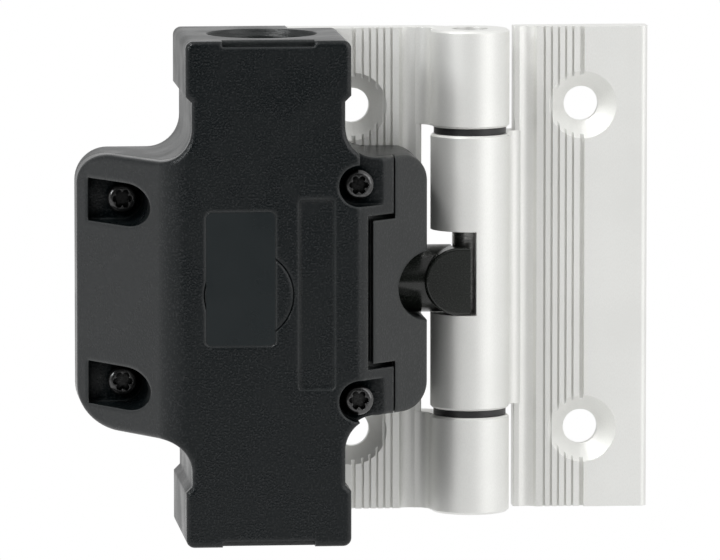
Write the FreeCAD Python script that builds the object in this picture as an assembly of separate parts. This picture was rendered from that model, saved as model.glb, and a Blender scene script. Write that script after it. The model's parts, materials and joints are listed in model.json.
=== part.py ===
"""Hinge safety switch: a moulded switch housing on one leaf of an alloy door hinge.

The switch stands on the fixed leaf. Its tongue reaches through the housing's nose into a slot in the
door leaf's knuckle, and is pushed back into the housing when the door leaf turns.

Frame: X across the hinge, -Y to the front, Z up. The origin is midway between the two screw holes of
the fixed leaf, on its back face. Inside the functions x is measured from the hinge axis, f is the height
in front of the mounting plane, and z runs up from the middle of the hinge.
"""
import FreeCAD, Part
import math
import os

# Hinge leaves
leaf_height = 89.0
leaf_reach = 33.2          # hinge axis to the outer edge of a leaf
leaf_thickness = 5.2
leaf_edge_radius = 1.2
leaf_inner_edge = 8.5      # hinge axis to the edge that faces the other leaf's knuckle
rib_drop = 0.6             # rib tops below the flat zone
rib_zone_outer = 21.5
rib_zone_inner = 12.7
rib_pitch = 1.32
rib_groove_width = 0.42
rib_groove_depth = 0.75
edge_groove_width = 0.75
valley_floor = 3.9
valley_sag = 0.45
valley_radius = 2.2
root_fillet = 2.5

# Hinge barrel
axis_height = 8.0          # hinge axis above the mounting plane
barrel_diameter = 14.5
centre_knuckle_half = 25.3
knuckle_gap = 1.3          # room for a bush flange between two knuckles
pin_diameter = 6.5
pin_recess = 0.8           # pin end below the face of the outer knuckle
pin_chamfer = 0.5
knuckle_face_chamfer = 0.4
bush_sleeve_diameter = 8.4
bush_sleeve_length = 10.0
bush_flange_diameter = 13.3
slot_height = 15.4
slot_flat = 0.5            # flat of the slot, past the hinge axis

# Mounting holes
hole_reach = 21.2          # hinge axis to the line of holes
hole_pitch = 60.0
hole_diameter = 6.4
countersink_diameter = 12.4

# Switch housing
housing_height = 92.0
housing_width = 30.0
housing_depth = 33.0
housing_drop = 1.4         # middle of the housing below the middle of the hinge
housing_gap = 24.0         # hinge axis to the near side of the housing
waist_inset = 1.1
collar_height = 10.0
collar_corner = 1.5
wing_reach = 18.2
wing_top = 24.0
wing_bottom = 26.4
wing_edge_height = 7.0
wing_top_corner = 6.0
wing_bottom_corner = 7.0
wing_shoulder = 3.9        # waist to where flat front and slope would meet
nose_gap = 9.05            # hinge axis to the end of the nose
nose_top = 24.3
nose_bottom = 22.6
nose_edge_height = 20.0
nose_slope_start = 13.3    # nose end to the start of its slope
nose_blend = 2.0
nose_corner = 5.0
inner_corner = 6.0
front_edge_radius = 0.8

# Base screws, from behind
base_screw_inset = 3.9     # outer edge of the fixed leaf to the line of screws
base_screw_shank = 1.45
base_screw_head = 2.9
base_screw_length = 6.4
base_screw_drive = 0.9
base_screw_drive_depth = 1.0
base_screw_spacing = 25.0
base_screw_skin = 0.6      # floor left over the screws

# Walls, lid and seal
lid_thickness = 2.6
wall = 2.5
near_wall = 5.0            # wall between the wiring space and the nose
floor_wall = 2.0
cavity_floor = 3.0
cavity_corner = 2.0
seal_width = 1.6
seal_height = 1.2
seal_inset = 0.5           # cavity edge to the seal's groove
lid_notch_width = 16.8
lid_notch_depth = 1.1
lid_ear_reach = 15.8       # hinge axis to the end of the lid's ears
lid_ear_height = 14.0
lid_middle_reach = 20.9
lid_groove_width = 1.0
lid_seam = 0.3             # gap between the ears and the nose
lid_rim_depth = 2.0
lid_rim_width = 1.4
panel_depth = 0.35
panel_left = 33.5
panel_right = 27.1
panel_half_height = 17.3
plate_left = 50.4
plate_right = 37.8
plate_top = 15.1
plate_bottom = 9.2
plate_corner = 1.0
plate_thickness = 0.6
disc_x = -42.6             # middle of the round outline beside the plate
disc_radius = 8.1
disc_groove = 0.3

# Lid screws
screw_head_diameter = 5.5
screw_head_height = 2.4
screw_head_round = 0.9
screw_shank_diameter = 2.9
screw_shank_length = 9.0
star_diameter = 3.6
star_depth = 1.5
star_core = 0.7            # share of the star's radius in its round core
left_screw_reach = 64.0
left_screw_up = 15.4
left_screw_down = 18.2
left_pocket_radius = 3.95
left_pocket_rise = 1.0     # pocket floor above the wing's edge
left_pocket_reach = 70.3
pocket_wall = 1.6
cup_wall = 1.4             # lid under and round a screw pocket
right_screw_reach = 22.5
right_screw_offset = 19.6
right_pocket_radius = 3.8
right_pocket_depth = 4.6
boss_diameter = 7.4
rib_thickness = 1.2

# Cable entry
entry_core_diameter = 18.4
entry_mouth_diameter = 20.2
entry_mouth_depth = 0.9
entry_height = 16.4

# Tongue
tongue_diameter = 12.4
tongue_flat = 7.5          # underside of the tongue above the mounting plane
tongue_tip_gap = 0.5       # tip short of the hinge axis
tongue_front = 15.0        # front face of its head
tongue_head_length = 8.4
tongue_stem_end = 34.0
tongue_travel = 7.9
tip_undercut = 3.4
nose_notch_radius = 6.4
nose_notch_reach = 14.8
seal_ring_thickness = 0.9
seal_ring_length = 2.2

# Contact element
block_right = 38.5         # hinge axis to the contact face of the block
block_end_gap = 2.5        # end of the wiring space to the block
block_base_height = 6.4
block_screw_x = -47.9
block_screw_inset = 4.9    # end of the block to its screw
block_screw_head = 2.2
block_screw_head_height = 1.6
block_screw_slot = 0.8
channel_half = 13.5
deck_step = 23.0
upper_deck_height = 21.6
lower_deck_height = 13.6
block_floor = 3.2
keel_width = 4.0
keel_depth = 1.8
spring_seat = 0.9          # wall behind the return spring
spring_bore_end = 1.4
carrier_length = 7.2
bridge_window_length = 2.4
carrier_half = 4.0
carrier_top = 22.5
bridge_thickness = 0.8
bridge_width = 2.8
bridge_half_length = 10.5
bridge_heights = (7.8, 17.8)
bridge_tip_radius = 1.1
bridge_tip_inset = 1.6
bridge_tip_height = 0.3
bridge_spring_radius = 1.3
bridge_spring_bore = 0.8
contact_thickness = 0.8
contact_inner = 7.2
strip_inset = 0.4
strip_width = 8.0
riser_width = 3.0
terminal_x = 44.6
terminal_shift = 3.0       # lower terminals nearer to the contact face
lower_terminal_offset = 4.2
clamp_side = 6.4
clamp_thickness = 1.0
clamp_bore = 1.6
terminal_head_diameter = 5.0
terminal_head_height = 1.8
terminal_shank = 1.25
terminal_shank_reach = 4.5
terminal_hole_depth = 6.0
slot_width = 0.7
slot_depth = 0.9
return_spring_diameter = 5.6
return_spring_wire = 0.6
return_spring_turns = 7
return_spring_height = 14.1

# Clearances
running_clearance = 0.05
bush_clearance = 0.02
flange_clearance = 0.1
seat_clearance = 0.15
soft_clearance = 0.3
contact_gap = 0.2

# Values that follow
barrel_radius = barrel_diameter / 2
outer_knuckle_start = centre_knuckle_half + knuckle_gap
housing_middle = -housing_drop
near_side = -housing_gap
far_side = near_side - housing_width
housing_centre_x = (near_side + far_side) / 2
half_height = housing_height / 2
cavity_left = far_side + waist_inset + wall
cavity_right = near_side - waist_inset - near_wall
cavity_half_height = half_height - collar_height
lid_underside = housing_depth - lid_thickness
leaf_floor = leaf_thickness + floor_wall
left_pocket_floor = wing_edge_height + left_pocket_rise
right_pocket_floor = housing_depth - right_pocket_depth
block_half_height = cavity_half_height - block_end_gap
block_screw_offset = block_half_height - block_screw_inset
base_screw_x = -(leaf_reach - base_screw_inset)
beyond = 5.0               # how far a cutter runs past what it cuts


def box(x0, x1, f0, f1, z0, z1):
    """Block between two x, two heights f and two z."""
    corner = FreeCAD.Vector(min(x0, x1), -max(f0, f1), min(z0, z1))
    return Part.makeBox(abs(x1 - x0), abs(f1 - f0), abs(z1 - z0), corner)


def upright(radius, z0, z1, x=0.0, f=axis_height):
    """Cylinder along Z."""
    return Part.makeCylinder(radius, z1 - z0, FreeCAD.Vector(x, -f, z0), FreeCAD.Vector(0, 0, 1))


def across(radius, x0, x1, f, z):
    """Cylinder along X."""
    return Part.makeCylinder(radius, x1 - x0, FreeCAD.Vector(x0, -f, z), FreeCAD.Vector(1, 0, 0))


def outward(radius, f0, f1, x, z):
    """Cylinder that stands up from the mounting plane."""
    return Part.makeCylinder(radius, f1 - f0, FreeCAD.Vector(x, -f0, z), FreeCAD.Vector(0, -1, 0))


def cone(radius0, radius1, f0, f1, x, z):
    """Cone that stands up from the mounting plane."""
    return Part.makeCone(radius0, radius1, f1 - f0, FreeCAD.Vector(x, -f0, z), FreeCAD.Vector(0, -1, 0))


def rounded(points):
    """Closed flat outline through (a, b, radius) corners, each rounded by its own radius."""
    count = len(points)
    runs = []
    for index in range(count):
        before = FreeCAD.Vector(*points[index - 1][:2], 0)
        corner = FreeCAD.Vector(*points[index][:2], 0)
        after = FreeCAD.Vector(*points[(index + 1) % count][:2], 0)
        radius = points[index][2]
        if radius == 0:
            runs.append((corner, corner, corner))
            continue
        back = (before - corner).normalize()
        ahead = (after - corner).normalize()
        half_angle = back.getAngle(ahead) / 2
        reach = radius / math.tan(half_angle)
        middle = corner + (back + ahead).normalize() * (radius / math.sin(half_angle) - radius)
        runs.append((corner + back * reach, middle, corner + ahead * reach))
    edges = []
    for index in range(count):
        start, middle, end = runs[index]
        if (end - start).Length > 1e-6:
            edges.append(Part.Arc(start, middle, end).toShape())
        following = runs[(index + 1) % count][0]
        if (following - end).Length > 1e-6:
            edges.append(Part.LineSegment(end, following).toShape())
    return Part.Face(Part.Wire(edges))


def front_prism(points, f0, f1):
    """Outline given in x and z, made solid between two heights f."""
    face = rounded(points)
    face.rotate(FreeCAD.Vector(0, 0, 0), FreeCAD.Vector(1, 0, 0), 90)
    face.translate(FreeCAD.Vector(0, -f0, 0))
    return face.extrude(FreeCAD.Vector(0, f0 - f1, 0))


def upright_prism(points, z0, z1):
    """Outline given in x and f, made solid between two z."""
    face = rounded([(x, -f, radius) for x, f, radius in points])
    face.translate(FreeCAD.Vector(0, 0, z0))
    return face.extrude(FreeCAD.Vector(0, 0, z1 - z0))


def mirrored(shape):
    """The same shape on the other side of the hinge axis."""
    return shape.mirror(FreeCAD.Vector(0, 0, 0), FreeCAD.Vector(1, 0, 0))


def joined(shapes):
    """One solid from touching solids, with seams between flush faces removed."""
    return shapes[0].multiFuse(shapes[1:]).removeSplitter()


# ---------------------------------------------------------------------------------------------- hinge

def leaf_section():
    """Outline of the door leaf's plate, from its inner edge to its outer edge."""
    rib_top = leaf_thickness - rib_drop
    groove_inner = rib_zone_outer - edge_groove_width
    points = [(leaf_inner_edge, 0, 0.4), (leaf_reach, 0, 0.5)]
    points += [(leaf_reach, leaf_thickness, leaf_edge_radius), (rib_zone_outer, leaf_thickness, 0)]
    points += [(rib_zone_outer, rib_top - rib_groove_depth, 0), (groove_inner, rib_top - rib_groove_depth, 0)]
    points += [(groove_inner, rib_top, 0)]
    grooves = int((groove_inner - rib_zone_inner - rib_pitch / 2) / rib_pitch)
    for index in range(1, grooves + 1):
        middle = groove_inner - index * rib_pitch
        outer = middle + rib_groove_width / 2
        inner = middle - rib_groove_width / 2
        points += [(outer, rib_top, 0), (outer, rib_top - rib_groove_depth, 0)]
        points += [(inner, rib_top - rib_groove_depth, 0), (inner, rib_top, 0)]
    root = leaf_inner_edge + 1.1
    points += [(rib_zone_inner, rib_top, 0), (rib_zone_inner - 0.5, valley_floor, 0)]
    points += [((rib_zone_inner + root) / 2, valley_floor - valley_sag, valley_radius)]
    points += [(root, valley_floor, 0), (leaf_inner_edge, valley_floor, 0.3)]
    return points


def knuckle_web(z0, z1):
    """Solid between a leaf's inner edge and its knuckle, blended into the barrel."""
    across_fillet = barrel_radius + root_fillet
    fillet_height = valley_floor + root_fillet - axis_height
    fillet_x = math.sqrt(across_fillet ** 2 - fillet_height ** 2)
    touch = barrel_radius / across_fillet
    on_barrel = FreeCAD.Vector(fillet_x * touch, -(axis_height + fillet_height * touch), 0)
    foot = FreeCAD.Vector(fillet_x, -valley_floor, 0)
    centre = FreeCAD.Vector(fillet_x, -(valley_floor + root_fillet), 0)
    middle = centre + ((on_barrel - centre) + (foot - centre)).normalize() * root_fillet
    under_x = barrel_radius * 0.55
    under = FreeCAD.Vector(under_x, -(axis_height - math.sqrt(barrel_radius ** 2 - under_x ** 2)), 0)
    inside = FreeCAD.Vector(under_x, on_barrel.y, 0)
    heel = FreeCAD.Vector(fillet_x + 0.2, 0, 0)
    heel_top = FreeCAD.Vector(fillet_x + 0.2, -valley_floor, 0)
    back_foot = FreeCAD.Vector(barrel_radius, 0, 0)
    edges = [Part.Arc(on_barrel, middle, foot).toShape()]
    for start, end in ((foot, heel_top), (heel_top, heel), (heel, back_foot), (back_foot, under),
                       (under, inside), (inside, on_barrel)):
        edges.append(Part.LineSegment(start, end).toShape())
    face = Part.Face(Part.Wire(edges))
    face.translate(FreeCAD.Vector(0, 0, z0))
    return face.extrude(FreeCAD.Vector(0, 0, z1 - z0))


def knuckle(z0, z1):
    """One knuckle with eased end faces, and the web that carries it."""
    length = z1 - z0
    eased = knuckle_face_chamfer
    profile = [(0, 0), (barrel_radius - eased, 0), (barrel_radius, eased), (barrel_radius, length - eased),
               (barrel_radius - eased, length), (0, length), (0, 0)]
    wire = Part.makePolygon([FreeCAD.Vector(r, -axis_height, z0 + h) for r, h in profile])
    turned = Part.Face(wire).revolve(FreeCAD.Vector(0, -axis_height, 0), FreeCAD.Vector(0, 0, 1), 360)
    return [turned, knuckle_web(z0, z1)]


def screw_hole(side, z):
    """Clearance hole with a 90 degree countersink from the front, on one side of the hinge axis."""
    radius = hole_diameter / 2
    mouth = countersink_diameter / 2
    x = side * hole_reach
    rib_top = leaf_thickness - rib_drop
    sink = cone(radius, mouth, rib_top - (mouth - radius), rib_top, x, z)
    above = outward(mouth, rib_top, leaf_thickness + beyond, x, z)
    return [outward(radius, -beyond, leaf_thickness, x, z), sink, above]


def leaf_plate():
    """The flat part of the door leaf over its whole height."""
    return upright_prism(leaf_section(), -leaf_height / 2, leaf_height / 2)


def make_door_leaf():
    """Leaf on the door, with the slotted centre knuckle."""
    leaf = joined([leaf_plate()] + knuckle(-centre_knuckle_half, centre_knuckle_half))
    bore = pin_diameter / 2 + 0.2
    seat = bush_sleeve_diameter / 2 + bush_clearance
    reach = centre_knuckle_half
    cutters = [upright(bore, -reach - beyond, reach + beyond)]
    cutters.append(upright(seat, reach - bush_sleeve_length - soft_clearance, reach + beyond))
    cutters.append(upright(seat, -reach - beyond, bush_sleeve_length + soft_clearance - reach))
    cutters.append(box(-barrel_diameter, slot_flat, -beyond, axis_height + barrel_diameter,
                       -slot_height / 2, slot_height / 2))
    for z in (-hole_pitch / 2, hole_pitch / 2):
        cutters += screw_hole(1, z)
    return leaf.cut(cutters)


def make_fixed_leaf():
    """Leaf under the switch, with the two outer knuckles."""
    top = leaf_height / 2
    halves = [leaf_plate()] + knuckle(outer_knuckle_start, top) + knuckle(-top, -outer_knuckle_start)
    leaf = mirrored(joined(halves))
    cutters = [upright(pin_diameter / 2 + running_clearance, -top - beyond, top + beyond)]
    for z in (-hole_pitch / 2, hole_pitch / 2):
        cutters += screw_hole(-1, z)
    for z, reach in base_screw_places():
        cutters.append(outward(base_screw_shank + seat_clearance, -beyond, leaf_thickness + beyond,
                               base_screw_x, z))
        cutters.append(cone(base_screw_head, base_screw_shank, 0, base_screw_head - base_screw_shank,
                            base_screw_x, z))
    return leaf.cut(cutters)


def base_screw_places():
    """Height and length of the screws that hold the base to the fixed leaf from behind."""
    reach = min(base_screw_length, leaf_floor - base_screw_skin)
    return [(housing_middle + step * base_screw_spacing, reach) for step in (-1.5, -0.5, 0.5, 1.5)]


def make_base_screws():
    """Countersunk screws from behind, through the fixed leaf into the base's end walls and floor."""
    screws = []
    for z, reach in base_screw_places():
        head = cone(base_screw_head - 0.1, base_screw_shank, 0.1, base_screw_head - base_screw_shank,
                    base_screw_x, z)
        shank = outward(base_screw_shank, 0.5, reach, base_screw_x, z)
        drive = outward(base_screw_drive, 0, base_screw_drive_depth, base_screw_x, z)
        screws.append(joined([head, shank]).cut(drive))
    return Part.Compound(screws)


def make_hinge_pin():
    """Steel pin with chamfered ends, short of the outer knuckles' faces."""
    half = leaf_height / 2 - pin_recess
    pin = upright(pin_diameter / 2, -half, half)
    ends = [edge for edge in pin.Edges if edge.Closed]
    return pin.makeChamfer(pin_chamfer, ends)


def make_bush(end):
    """Flanged bearing in one end of the centre knuckle: end is 1 above and -1 below."""
    flange_height = knuckle_gap - 2 * flange_clearance
    start = centre_knuckle_half + flange_clearance
    flange = upright(bush_flange_diameter / 2, start, start + flange_height)
    sleeve = upright(bush_sleeve_diameter / 2, centre_knuckle_half - bush_sleeve_length, start)
    bore = upright(pin_diameter / 2 + running_clearance, 0, leaf_height)
    bush = joined([flange, sleeve]).cut(bore)
    if end < 0:
        bush = bush.mirror(FreeCAD.Vector(0, 0, 0), FreeCAD.Vector(0, 0, 1))
    return bush


# -------------------------------------------------------------------------------------------- housing

def body_points():
    """Front outline of the body: a waist between two wider end collars."""
    top = housing_middle + half_height
    bottom = housing_middle - half_height
    collar_top = top - collar_height
    collar_bottom = bottom + collar_height
    near = near_side - waist_inset
    far = far_side + waist_inset
    points = [(far_side, top, collar_corner), (near_side, top, collar_corner)]
    points += [(near_side, collar_top, 0), (near, collar_top - waist_inset, 0)]
    points += [(near, collar_bottom + waist_inset, 0), (near_side, collar_bottom, 0)]
    points += [(near_side, bottom, collar_corner), (far_side, bottom, collar_corner)]
    points += [(far_side, collar_bottom, 0), (far, collar_bottom + waist_inset, 0)]
    points += [(far, collar_top - waist_inset, 0), (far_side, collar_top, 0)]
    return points


def side_points(root, end, high, low, high_corner, low_corner):
    """Front outline of the wing or the nose, with its round inner corners and a strip inside the body."""
    inside = root + math.copysign(front_edge_radius + 0.2, root - end)
    return [(inside, high + inner_corner, 0), (root, high + inner_corner, 0), (root, high, inner_corner),
            (end, high, high_corner), (end, low, low_corner), (root, low, inner_corner),
            (root, low - inner_corner, 0), (inside, low - inner_corner, 0)]


def wing_form(sink):
    """Everything below the wing's front surface, lowered by sink: flat, shoulder, then a steep slope."""
    root = far_side + waist_inset
    end = far_side - wing_reach
    corner = root - wing_shoulder
    slope = math.atan2(housing_depth - wing_edge_height, corner - end)
    radius = wing_shoulder / math.tan(slope / 2)
    top = housing_depth - sink
    shift = sink * math.tan(slope / 2)
    foot_x = end - beyond
    foot_f = wing_edge_height - beyond * math.tan(slope) - sink / math.cos(slope)
    points = [(0, -4 * beyond, 0), (0, top, 0), (corner + shift, top, radius - sink), (foot_x, foot_f, 0)]
    if foot_f > -4 * beyond:
        points.append((foot_x, -4 * beyond, 0))
    return upright_prism(points, housing_middle - housing_height, housing_middle + housing_height)


def nose_form(sink):
    """Everything below the nose's front surface, lowered by sink."""
    end = -nose_gap
    corner = end - nose_slope_start
    slope = math.atan2(housing_depth - nose_edge_height, nose_slope_start)
    top = housing_depth - sink
    shift = -sink * math.tan(slope / 2)
    foot_x = end + beyond
    foot_f = nose_edge_height - beyond * math.tan(slope) - sink / math.cos(slope)
    points = [(2 * far_side, -4 * beyond, 0), (2 * far_side, top, 0), (corner + shift, top, nose_blend),
              (foot_x, foot_f, 0), (foot_x, -4 * beyond, 0)]
    return upright_prism(points, housing_middle - housing_height, housing_middle + housing_height)


def rounded_front(block, low=-math.inf, high=math.inf):
    """A block with the edges between its front surface and side walls rounded, where low < x < high."""
    edges = []
    for edge in block.Edges:
        walls = 0
        fronts = 0
        for face in block.ancestorsOfType(edge, Part.Face):
            u0, u1, v0, v1 = face.ParameterRange
            normal = face.normalAt((u0 + u1) / 2, (v0 + v1) / 2)
            if abs(normal.y) < 1e-6:
                walls += 1
            elif normal.y < 0:
                fronts += 1
        if walls == 1 and fronts == 1 and low < edge.CenterOfMass.x < high:
            edges.append(edge)
    return block.makeFillet(front_edge_radius, edges)


def housing_form():
    """Outer form of base and lid together."""
    near = near_side - waist_inset
    far = far_side + waist_inset
    middle = housing_middle
    body = rounded_front(front_prism(body_points(), 0, housing_depth))
    wing_outline = side_points(far, far_side - wing_reach, middle + wing_top, middle - wing_bottom,
                               wing_top_corner, wing_bottom_corner)
    wing = front_prism(wing_outline, 0, housing_depth).common(wing_form(0))
    nose_outline = side_points(near, -nose_gap, middle + nose_top, middle - nose_bottom,
                               nose_corner, nose_corner)
    nose = front_prism(nose_outline, 0, housing_depth).common(nose_form(0))
    return joined([body, rounded_front(wing, high=far + 1e-3), rounded_front(nose, low=near - 1e-3)])


def front_form(sink):
    """Everything below the housing's whole front surface, lowered by sink."""
    return wing_form(sink).common(nose_form(sink))


def pocket(x, z, radius, open_x, open_z, floor):
    """Cutter of a screw pocket: round round the screw, open towards open_x, and past open_z if given."""
    top = housing_depth + beyond
    cutter = [outward(radius, floor, top, x, z)]
    cutter.append(box(x, open_x, floor, top, z - radius, z + radius))
    if open_z is not None:
        cutter.append(box(x, open_x, floor, top, z, open_z))
    return joined(cutter)


def left_screw_places():
    """Lid screws in the wing."""
    return [(-left_screw_reach, housing_middle + left_screw_up),
            (-left_screw_reach, housing_middle - left_screw_down)]


def right_screw_places():
    """Lid screws in the lid's ears."""
    return [(-right_screw_reach, housing_middle + right_screw_offset),
            (-right_screw_reach, housing_middle - right_screw_offset)]


def screw_pockets(grow):
    """The four pockets over the lid screws, each grown by grow sideways and downwards."""
    pockets = []
    for x, z in left_screw_places():
        pockets.append(pocket(x, z, left_pocket_radius + grow, -left_pocket_reach, None,
                              left_pocket_floor - grow))
    for x, z in right_screw_places():
        past_edge = z + math.copysign(right_pocket_radius + beyond / 2, z - housing_middle)
        pockets.append(pocket(x, z, right_pocket_radius + grow, -lid_ear_reach, past_edge,
                              right_pocket_floor - grow))
    return pockets


def lid_region(clearance, seam):
    """Space of the lid: a front layer with two ears over the nose, and a cup round each screw pocket."""
    top = housing_middle + housing_height
    bottom = housing_middle - housing_height
    far = far_side - wing_reach - beyond
    front = housing_depth + beyond
    space = box(far, -lid_middle_reach + clearance, -beyond, front, bottom, top)
    ears = []
    for low, high in ((housing_middle + lid_ear_height - clearance, top),
                      (bottom, housing_middle - lid_ear_height + clearance)):
        ears.append(box(far, -lid_ear_reach + seam, -beyond, front, low, high))
    layer = joined([space] + ears).cut(front_form(lid_thickness))
    return joined([layer] + screw_pockets(cup_wall))


def entry_cutter():
    """Cable entry through the top wall, with a wider mouth."""
    top = housing_middle + half_height
    core = upright(entry_core_diameter / 2, top - collar_height, top + beyond, housing_centre_x, entry_height)
    mouth = upright(entry_mouth_diameter / 2, top - entry_mouth_depth, top + beyond, housing_centre_x,
                    entry_height)
    return [core, mouth]


def cavity_points(grow):
    """Outline of the wiring space, grown by grow on every side."""
    left = cavity_left - grow
    right = cavity_right + grow
    top = housing_middle + cavity_half_height + grow
    bottom = housing_middle - cavity_half_height - grow
    radius = cavity_corner + grow
    return [(left, top, radius), (right, top, radius), (right, bottom, radius), (left, bottom, radius)]


def d_bar(radius, flat, x0, x1):
    """Round bar along X at the tongue's place, cut flat underneath."""
    bar = across(radius, x0, x1, axis_height, housing_middle)
    return bar.common(box(x0, x1, flat, axis_height + 2 * radius, housing_middle - 2 * radius,
                          housing_middle + 2 * radius))


def wing_hollow():
    """Core-out in the back of the wing, round the bosses of its two screws."""
    wing = far_side - wing_reach + wall
    near = cavity_left - wall - pocket_wall / 2
    top = housing_middle + wing_top - wall
    bottom = housing_middle - wing_bottom + wall
    points = [(wing, top, wing_top_corner - wall), (near, top, cavity_corner),
              (near, bottom, cavity_corner), (wing, bottom, wing_bottom_corner - wall)]
    hollow = front_prism(points, -beyond, housing_depth).common(front_form(lid_thickness + wall))
    bosses = [outward(boss_diameter / 2, -beyond, housing_depth, x, z) for x, z in left_screw_places()]
    bosses += screw_pockets(cup_wall + pocket_wall)[:2]
    ribs = [box(wing - beyond, near + beyond, -2 * beyond, housing_depth,
                z - rib_thickness / 2, z + rib_thickness / 2) for x, z in left_screw_places()]
    return hollow.cut(bosses + ribs)


def make_housing_base():
    """Open-fronted box with the threaded cable entry, the nose and the wing's underside."""
    under_lid = HOUSING.common(front_form(lid_thickness)).cut(screw_pockets(cup_wall))
    base = under_lid.fuse(HOUSING.cut(lid_region(lid_groove_width, lid_seam))).removeSplitter()
    cutters = [box(-leaf_reach - seat_clearance, 0, -beyond, leaf_thickness,
                   housing_middle - housing_height, housing_middle + housing_height)]
    cavity = front_prism(cavity_points(0), cavity_floor, housing_depth + beyond)
    over_leaf = box(-leaf_reach - floor_wall, 0, 0, leaf_floor, -housing_height, housing_height)
    cutters.append(cavity.cut(over_leaf))
    cutters.append(seal_groove())
    cutters += entry_cutter()
    cutters.append(wing_hollow())
    cutters.append(d_bar(tongue_diameter / 2 + running_clearance, tongue_flat - running_clearance,
                         cavity_right - beyond, 0))
    cutters.append(seal_ring(0, seat_clearance))
    middle = housing_middle
    radius = nose_notch_radius
    high = tongue_front + seat_clearance
    cutters.append(outward(radius, high - 0.1, housing_depth + beyond, radius - nose_notch_reach, middle))
    deep = radius - nose_gap - tongue_travel - 0.2
    cutters.append(outward(radius, 0, high, deep, middle))
    cutters.append(box(deep, 0, 0, high, middle - radius, middle + radius))
    for x, z in left_screw_places() + right_screw_places():
        floor = left_pocket_floor if x < housing_centre_x else right_pocket_floor
        hole_end = max(floor - screw_shank_length, wall * 0.4)
        cutters.append(outward(screw_shank_diameter / 2 + running_clearance, hole_end - 0.3,
                               housing_depth, x, z))
    for z, reach in base_screw_places():
        cutters.append(outward(base_screw_shank + running_clearance, 0, reach + 0.3, base_screw_x, z))
    return base.cut(cutters)


def seal_groove():
    """Groove for the lid seal in the base's rim."""
    outer = front_prism(cavity_points(seal_inset + seal_width), lid_underside - seal_height,
                        lid_underside + beyond)
    inner = front_prism(cavity_points(seal_inset), lid_underside - seal_height - 1,
                        lid_underside + beyond + 1)
    return outer.cut(inner)


def make_lid_seal():
    """Flat gasket in its groove."""
    outer = front_prism(cavity_points(seal_inset + seal_width - seat_clearance), lid_underside - seal_height,
                        lid_underside)
    inner = front_prism(cavity_points(seal_inset + seat_clearance), lid_underside - seal_height - 1,
                        lid_underside + 1)
    return outer.cut(inner)


def plate_points(grow):
    """Outline of the bare plate on the lid, grown by grow on every side."""
    left = -plate_left - grow
    right = -plate_right + grow
    top = housing_middle + plate_top + grow
    bottom = housing_middle - plate_bottom - grow
    return [(left, top, plate_corner), (right, top, plate_corner), (right, bottom, plate_corner),
            (left, bottom, plate_corner)]


def make_housing_lid():
    """Cover over the body and the wing, with two ears that reach over the nose."""
    lid = HOUSING.common(lid_region(0, 0))
    cutters = screw_pockets(0)
    for x, z in left_screw_places() + right_screw_places():
        cutters.append(outward(screw_shank_diameter / 2 + seat_clearance, 0, housing_depth, x, z))
    top = housing_middle + half_height
    bottom = housing_middle - half_height
    for z in (top, bottom):
        points = [(housing_centre_x - lid_notch_width / 2, z - lid_notch_depth, 0.4),
                  (housing_centre_x - lid_notch_width / 2, z + lid_notch_depth, 0),
                  (housing_centre_x + lid_notch_width / 2, z + lid_notch_depth, 0),
                  (housing_centre_x + lid_notch_width / 2, z - lid_notch_depth, 0.4)]
        if z == bottom:
            points = [(x, 2 * z - zz, radius) for x, zz, radius in points]
        cutters.append(front_prism(points, lid_underside - 1, housing_depth + 1))
    high = housing_middle + panel_half_height
    low = housing_middle - panel_half_height
    panel = [(-panel_left, high, 0.6), (-panel_right, high, 0.6), (-panel_right, low, 0.6),
             (-panel_left, low, 0.6)]
    cutters.append(front_prism(panel, housing_depth - panel_depth, housing_depth + 1))
    cutters.append(front_prism(plate_points(0), housing_depth - plate_thickness, housing_depth + 1))
    ring = [outward(radius, housing_depth - disc_groove, housing_depth + 1, disc_x, housing_middle)
            for radius in (disc_radius + disc_groove / 2, disc_radius - disc_groove / 2)]
    cutters.append(ring[0].cut(ring[1]))
    rim_outer = front_prism(cavity_points(-seat_clearance), lid_underside - lid_rim_depth,
                            lid_underside + 0.5)
    rim_inner = front_prism(cavity_points(-seat_clearance - lid_rim_width), lid_underside - lid_rim_depth - 1,
                            lid_underside)
    return lid.fuse(rim_outer.cut(rim_inner)).removeSplitter().cut(cutters)


def make_rating_plate():
    """Bare plate that lies flush in the lid."""
    return front_prism(plate_points(-running_clearance), housing_depth - plate_thickness, housing_depth)


def pan_screw(x, z, floor):
    """Pan-head screw with a six-lobed recess, seated on a pocket's floor."""
    radius = screw_head_diameter / 2
    head = outward(radius, floor, floor + screw_head_height, x, z)
    rims = [edge for edge in head.Edges if edge.Closed and edge.CenterOfMass.y < -floor - 1]
    head = head.makeFillet(screw_head_round, rims)
    end = max(floor - screw_shank_length, wall * 0.4)
    shank = outward(screw_shank_diameter / 2, end, floor, x, z)
    top = floor + screw_head_height
    core = star_diameter / 2 * star_core
    drive = [outward(core, top - star_depth, top + 1, x, z)]
    for lobe in range(6):
        angle = math.radians(60 * lobe)
        drive.append(outward(star_diameter / 2 - core, top - star_depth, top + 1,
                             x + core * math.cos(angle), z + core * math.sin(angle)))
    return joined([head, shank]).cut(drive)


def make_screws(places, floor):
    """Lid screws that stand on one floor height."""
    return Part.Compound([pan_screw(x, z, floor) for x, z in places])


# --------------------------------------------------------------------------------------------- tongue

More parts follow.
